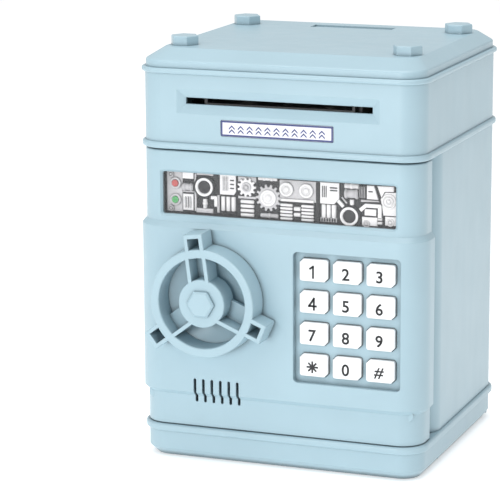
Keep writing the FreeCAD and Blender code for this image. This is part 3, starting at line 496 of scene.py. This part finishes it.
def bar(s, start, end, width, height, slot=SILVER):
    """Straight link between two (x, z) points."""
    a, b = Vector(start), Vector(end)
    side = (b - a).normalized() * width / 2
    side = Vector((-side.y, side.x))
    plate(s, [tuple(a - side), tuple(b - side), tuple(b + side), tuple(a + side)], height, slot)


def elbow(s, points, width, height, slot=PALE):
    for start, end in zip(points, points[1:]):
        bar(s, start, end, width, height, slot)
    for x, z in points[1:-1]:
        plate(s, circle(x, z, width / 2, 20), height + 0.02, slot)


def grille(s, x, z, width, height, bars, slot=DARK):
    pitch = width / bars
    for i in range(bars):
        at = x - width / 2 + (i + 0.5) * pitch
        plate(s, rectangle(at, z, pitch * 0.35, height), 1.45, slot, 0.05)


def screw_head(s, x, z, radius):
    dial(s, x, z, (radius, radius * 0.66, radius * 0.4), 1.5, SILVER)
    plate(s, rectangle(x, z, radius * 1.1, radius * 0.22), 1.35, DARK, 0.03)


def right_mechanism(s):
    """Dials, ribbed stacks, a gauge and pipework, from the middle to the right end."""
    plate(s, [(-0.5, 121.9), (16.6, 122.2), (16.6, 131.6), (-0.5, 131.6)], 0.55, SILVER)
    plate(s, rectangle(8.0, 122.6, 15.4, 1.2), 1.2, PALE)
    for x, z in ((2.9, 127.4), (12.2, 127.3)):
        dial(s, x, z, (3.2, 2.1, 1.2), 1.5)
    thread(s, 2.9, 117.3, 5.8, 7.6, 5)
    thread(s, 12.8, 117.3, 5.8, 7.6, 5)
    for z in (116.2, 118.8):
        pipe(s, 7.9, z, "x", 3.2, 0.95)
    plate(s, rectangle(17.3, 122.3, 1.6, 17.0), 0.5, DARK)
    plate(s, [(18.7, 122.2), (25.2, 122.2), (27.5, 124.8), (27.5, 131.8), (18.7, 131.8)], 1.2, PALE)
    grille(s, 20.7, 127.6, 2.6, 5.0, 3)
    for z in (128.3, 129.5):
        plate(s, rectangle(25.0, z, 3.4, 0.5), 1.4, DARK, 0.05)
    for i in range(3):
        pipe(s, 20.3 + i * 2.3, 118.9, "z", 6.0, 1.12)
    plate(s, rectangle(22.6, 115.0, 7.6, 1.9), 0.9, SILVER)
    grille(s, 22.6, 115.0, 7.2, 1.3, 6)
    lens(s, 32.3, 117.3)
    bar(s, (26.9, 124.0), (29.6, 121.2), 1.5, 1.2, PALE)
    bar(s, (28.6, 125.6), (31.0, 122.9), 0.7, 0.9, SILVER)
    pipe(s, 33.2, 123.5, "z", 2.6, 1.0)
    pipe(s, 33.2, 127.4, "x", 6.4, 2.0, SILVER, (0.12, 0.88))
    pipe(s, 33.2, 130.7, "x", 6.6, 1.3, PALE, (0.5,))
    grille(s, 38.2, 128.4, 2.8, 5.0, 4, SILVER)
    plate(s, [(40.2, 125.5), (45.5, 125.5), (43.5, 131.6), (40.2, 131.6)], 1.1, PALE)
    plate(s, rectangle(42.0, 128.9, 1.9, 0.5), 1.3, DARK, 0.05)
    plate(s, [(46.9, 126.4), (48.4, 129.2), (52.6, 129.4), (52.6, 131.8), (44.9, 131.6)], 1.0, PALE)
    plate(s, [(47.6, 118.6), (53.6, 118.6), (53.6, 129.0), (48.6, 129.0), (46.4, 125.8)], 0.6, PALE)
    dial(s, 50.3, 125.0, (3.3, 2.6, 1.9, 1.2, 0.6), 0.95)
    plate(s, [(37.4, 124.0), (45.6, 124.4), (45.6, 125.0), (37.4, 125.0)], 0.8, SILVER)
    elbow(s, [(37.2, 120.3), (39.8, 122.6), (46.2, 122.6), (46.2, 117.4)], 1.7, 1.3)
    plate(s, rectangle(41.8, 119.6, 5.4, 3.0), 0.8, PALE)
    plate(s, rectangle(41.6, 115.6, 7.0, 3.8), 1.2, PALE)
    dial(s, 40.2, 114.5, (1.6, 1.0, 0.5), 1.55, SILVER)
    for z in (115.1, 116.8):
        pipe(s, 45.4, z, "x", 3.6, 0.7)
    plate(s, rectangle(51.0, 116.2, 5.0, 4.0), 0.6, PALE)
    dial(s, 51.0, 115.6, (1.7, 1.1, 0.6), 0.95)


def left_mechanism(s):
    """Gears, a second gauge and two round bezels for the status lamps, at the left end."""
    plate(s, rectangle(-6.0, 122.6, 11.0, 17.6), 0.4, DARK)
    for x, z, width, height in ((-15.8, 130.6, 8.6, 2.4), (-15.8, 122.4, 8.6, 1.2),
                                (-29.6, 118.6, 1.2, 8.0), (-40.6, 123.2, 1.0, 17.0),
                                (-36.0, 131.8, 8.0, 1.4), (-44.0, 123.4, 5.4, 0.8)):
        plate(s, rectangle(x, z, width, height), 0.6, SILVER)
    plate(s, rectangle(-50.6, 123.2, 7.6, 18.4), 0.5, SILVER)
    plate(s, cog(-5.6, 123.0, 4.8, 6.0, 14), 1.0, SILVER)
    dial(s, -5.6, 123.0, (3.7, 2.6, 1.4), 1.6)
    plate(s, cog(-15.8, 127.2, 3.4, 4.4, 11), 1.4, PALE)
    dial(s, -15.8, 127.2, (2.2, 1.4, 0.7), 1.9, SILVER)
    thread(s, -15.6, 117.6, 6.4, 8.0, 4)
    pipe(s, -6.0, 131.6, "x", 9.0, 1.0, PALE, (0.3, 0.7))
    pipe(s, -5.2, 114.9, "x", 8.4, 1.0, SILVER, (0.5,))
    plate(s, [(-28.6, 123.2), (-22.0, 123.2), (-21.0, 124.8), (-21.0, 132.9), (-28.6, 132.9)], 1.2, PALE)
    grille(s, -25.9, 128.2, 3.0, 6.4, 4, SILVER)
    for z in (126.2, 128.0, 129.8):
        plate(s, rectangle(-22.7, z, 1.8, 0.5), 1.45, DARK, 0.05)
    for i in range(3):
        pipe(s, -27.2 + i * 2.4, 119.0, "z", 6.6, 1.05)
    plate(s, rectangle(-24.8, 114.9, 7.4, 1.3), 0.9, DARK)
    lens(s, -36.0, 126.0)
    pipe(s, -36.0, 118.4, "z", 4.4, 1.0, PALE, (0.5,))
    plate(s, rectangle(-36.0, 115.2, 8.0, 2.0), 1.1, SILVER)
    elbow(s, [(-30.6, 117.4), (-30.6, 121.4), (-33.0, 121.4)], 1.5, 1.3)
    plate(s, rectangle(-44.0, 130.8, 5.4, 3.0), 1.1, PALE)
    plate(s, rectangle(-44.0, 118.6, 5.0, 7.4), 0.9, PALE)
    grille(s, -44.0, 118.6, 3.6, 5.0, 3, SILVER)
    pipe(s, -44.2, 125.4, "x", 5.4, 1.5, SILVER, (0.2, 0.8))
    face = front(1.5)
    bezel = [(FLOOR + 0.1, 2.6), (face + 0.2, 2.6), (face, 2.4), (face, 1.75), (FLOOR, 1.7)]
    for z in (127.0, 119.5):
        s.lathe((-50.0, 0, z), "y", bezel, SILVER)
    screw_head(s, -52.2, 115.4, 1.3)
    screw_head(s, -52.2, 131.0, 1.3)


def mechanism():
    """The make-believe lock works that show behind the clear window."""
    s = Sculpt("mechanism_relief", ("silver", "pale_silver", "shadow_grey"))
    (x0, _, z0), (x1, _, z1) = CARD_LOW, CARD_HIGH
    ground = [(x0, z0), (x1, z0), (x1, z1), (x0, z1)]
    s.slab(ground, FLOOR, CARD_REAR, DARK, 0.1)
    right_mechanism(s)
    left_mechanism(s)
    s.finish("door", ("mechanism_card",))


# ---------------------------------------------------------------- prints
INK_DEPTH = 0.04             # body of a print, in millimetres like the other print sizes
INK_PROUD = 0.03             # how far a print stands out of the face it is on
NUMERAL_HEIGHT = 5.4
HASH_HEIGHT = 5.0
STROKE_WIDTH = 0.92
PRINT_SHIFT = (-0.6, -0.8)   # the prints sit a little left of and below the key's middle
STROKED_NUMERALS = {
    "1": (((0.35, -2.45), (0.35, 2.45)), ((0.35, 2.45), (-1.0, 1.55))),
    "4": (((0.75, -2.45), (0.75, 2.45)), ((0.75, 2.45), (-1.5, -0.95)), ((-1.5, -0.95), (1.65, -0.95))),
}


def text_mesh(character, height, boldness, slant=0.0):
    """Mesh of one generic numeral, centred on the origin and facing the front.

    boldness is how far the font's outline grows, in metres at a font size of 10 mm.
    """
    curve = bpy.data.curves.new("numeral", "FONT")
    curve.body = character
    curve.size = 0.01
    curve.offset = boldness
    curve.shear = slant
    curve.resolution_u = 8
    holder = bpy.data.objects.new("numeral", curve)
    bpy.context.scene.collection.objects.link(holder)
    bpy.context.view_layer.update()
    flat = holder.evaluated_get(bpy.context.evaluated_depsgraph_get())
    mesh = bpy.data.meshes.new_from_object(flat)
    bpy.data.objects.remove(holder)
    xs = [v.co.x for v in mesh.vertices]
    ys = [v.co.y for v in mesh.vertices]
    scale = Matrix.Scale(height * MM / (max(ys) - min(ys)), 4)
    centre = Matrix.Translation((-(max(xs) + min(xs)) / 2, -(max(ys) + min(ys)) / 2, 0.0))
    mesh.transform(Matrix.Rotation(math.pi / 2, 4, "X") @ scale @ centre)
    return thicken(mesh)


def thicken(mesh):
    """Give a flat print that faces the front a closed body."""
    work = bmesh.new()
    work.from_mesh(mesh)
    bmesh.ops.remove_doubles(work, verts=work.verts, dist=1e-7)
    grown = bmesh.ops.extrude_face_region(work, geom=list(work.faces))
    moved = [v for v in grown["geom"] if isinstance(v, bmesh.types.BMVert)]
    bmesh.ops.translate(work, verts=moved, vec=Vector((0.0, INK_DEPTH * MM, 0.0)))
    bmesh.ops.recalc_face_normals(work, faces=work.faces)
    work.to_mesh(mesh)
    work.free()
    return mesh


def outline_mesh(name, outlines):
    """Print that fills (x, z) outlines around the origin, facing the front."""
    work = bmesh.new()
    for outline in outlines:
        work.faces.new([work.verts.new((p.x * MM, 0.0, p.y * MM)) for p in outline])
    mesh = bpy.data.meshes.new(name)
    work.to_mesh(mesh)
    work.free()
    return thicken(mesh)


def stroke_mesh(lines):
    """Numeral made of straight strokes between (x, z) points."""
    outlines = []
    for start, end in lines:
        a, b = Vector(start), Vector(end)
        along = (b - a).normalized() * STROKE_WIDTH / 2
        side = Vector((-along.y, along.x))
        outlines.append((a - along - side, b + along - side, b + along + side, a - along + side))
    return outline_mesh("numeral", outlines)


def star_mesh(radius, half_width, arms=8):
    """Asterisk with straight arms."""
    inner = half_width / math.sin(math.pi / arms)
    points = []
    for i in range(arms):
        a = 2 * math.pi * i / arms + math.pi / 2
        along = Vector((math.cos(a), math.sin(a)))
        across = Vector((-along.y, along.x))
        notch = a - math.pi / arms
        points.append(Vector((math.cos(notch), math.sin(notch))) * inner)
        points.append(along * radius - across * half_width)
        points.append(along * radius + across * half_width)
    return outline_mesh("asterisk", [points])


def key_print(label):
    """Numeral, star or hash for one key."""
    if label == "star":
        return star_mesh(2.7, 0.42)
    if label == "hash":
        return text_mesh("#", HASH_HEIGHT, 0.00017, slant=0.18)
    if label in STROKED_NUMERALS:
        return stroke_mesh(STROKED_NUMERALS[label])
    return text_mesh(label, NUMERAL_HEIGHT, 0.00019)


def key_prints():
    """Prints on the twelve keys."""
    for node in NODE_MATERIALS["key_abs"]:
        label = node[len("key_"):]
        mesh = key_print(label)
        low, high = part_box(node)
        x = (low[0] + high[0]) / 2 + PRINT_SHIFT[0] * MM
        z = (low[2] + high[2]) / 2 + PRINT_SHIFT[1] * MM
        mesh.transform(Matrix.Translation((x, low[1] - INK_PROUD * MM, z)))
        mesh.materials.clear()
        mesh.materials.append(MATERIALS["digit_ink"])
        attach("print_" + label, mesh, node + "_body")


def slot_label_print():
    """Navy border and a row of chevrons that point up to the note slot."""
    low, high = (tuple(v / MM for v in corner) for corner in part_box("slot_label"))
    s = Sculpt("slot_label_print", ("navy_ink",))
    face, rear = low[1] - INK_PROUD, low[1] + 0.05
    margin, line = 0.05, 0.8
    x0, x1, z0, z1 = low[0] + margin, high[0] - margin, low[2] + margin, high[2] - margin
    outer = [(x0, z0), (x1, z0), (x1, z1), (x0, z1)]
    inner = [(x0 + line, z0 + line), (x1 - line, z0 + line), (x1 - line, z1 - line), (x0 + line, z1 - line)]
    for i in range(4):
        j = (i + 1) % 4
        s.slab([outer[i], outer[j], inner[j], inner[i]], face, rear, 0, 0.01)
    count, pitch, reach, stroke = 11, 4.2, 1.4, 0.8
    for i in range(count):
        x = (i - count // 2) * pitch
        for drop in (0.0, 1.7):
            top = (z0 + z1) / 2 + 1.6 - drop
            s.slab([(x, top), (x - reach, top - reach), (x - reach, top - reach - stroke), (x, top - stroke),
                    (x + reach, top - reach - stroke), (x + reach, top - reach)], face, rear, 0, 0.005)
    s.finish("case")


# ---------------------------------------------------------------- studio
def aim(location, target):
    return (Vector(target) - Vector(location)).to_track_quat("-Z", "Y").to_euler()


def soft_box(name, location, target, size, power):
    light = bpy.data.lights.new(name, "AREA")
    light.shape = "RECTANGLE"
    light.size, light.size_y = size
    light.energy = power
    holder = bpy.data.objects.new(name, light)
    holder.location = location
    holder.rotation_euler = aim(location, target)
    bpy.context.scene.collection.objects.link(holder)


def surround(strength):
    """Even white light from all around."""
    world = bpy.data.worlds.new("studio")
    world.use_nodes = True
    world.node_tree.nodes["Background"].inputs["Color"].default_value = (1.0, 1.0, 1.0, 1.0)
    world.node_tree.nodes["Background"].inputs["Strength"].default_value = strength
    bpy.context.scene.world = world


FLOOR_GAP = 0.0002           # keeps the floor clear of the base's underside


def paper_floor(size, glow):
    """Large sheet of white paper that glows a little, so that it ends up plain white."""
    mesh = bpy.data.meshes.new("floor")
    work = bmesh.new()
    bmesh.ops.create_grid(work, x_segments=1, y_segments=1, size=size)
    work.to_mesh(mesh)
    work.free()
    floor = bpy.data.objects.new("floor", mesh)
    floor.location = (0.0, 0.0, -FLOOR_GAP)
    n = Nodes("paper_floor")
    paper = n.ramp(n.noise(2.0), 0.3, 0.7, (0.90, 0.90, 0.90), (0.93, 0.93, 0.93))
    n.link(paper, n.shader.inputs["Base Color"])
    n.set(Roughness=0.9, Emission_Color=(1.0, 1.0, 1.0), Emission_Strength=glow)
    mesh.materials.append(n.material)
    bpy.context.scene.collection.objects.link(floor)


def studio():
    surround(0.62)
    soft_box("key_light", (-0.75, -1.0, 0.75), (0, 0, 0.08), (0.4, 0.4), 1.5)
    soft_box("top_light", (0.0, -0.1, 1.3), (0, 0, 0.1), (0.9, 0.9), 10.0)
    soft_box("front_fill", (-0.15, -1.3, 0.3), (0, 0, 0.07), (0.5, 0.3), 5.2)
    paper_floor(6.0, 0.37)


CAMERA_PLACE = (0.37599, -1.06732, 0.33619)
CAMERA_ANGLES = (21.131, 12.318, -0.323)     # azimuth, elevation and roll in degrees
SENSOR_WIDTH = 36.0
FOCAL_LENGTH = 179.23


def camera():
    """Long lens, a little above and to the right of the safe."""
    azimuth, elevation, roll = (math.radians(angle) for angle in CAMERA_ANGLES)
    view = Vector((-math.sin(azimuth) * math.cos(elevation), math.cos(azimuth) * math.cos(elevation),
                   -math.sin(elevation)))
    flat_right = Vector((math.cos(azimuth), math.sin(azimuth), 0.0))
    flat_up = flat_right.cross(view)
    right = flat_right * math.cos(roll) + flat_up * math.sin(roll)
    up = flat_up * math.cos(roll) - flat_right * math.sin(roll)
    data = bpy.data.cameras.new("camera")
    data.sensor_width = SENSOR_WIDTH
    data.lens = FOCAL_LENGTH
    holder = bpy.data.objects.new("camera", data)
    place = Matrix((right, up, -view)).transposed().to_4x4()
    place.translation = Vector(CAMERA_PLACE)
    holder.matrix_world = place
    bpy.context.scene.collection.objects.link(holder)
    bpy.context.scene.camera = holder


bpy.context.scene.view_settings.view_transform = "Standard"
camera()
studio()
paint_frame()
mechanism()
key_prints()
slot_label_print()
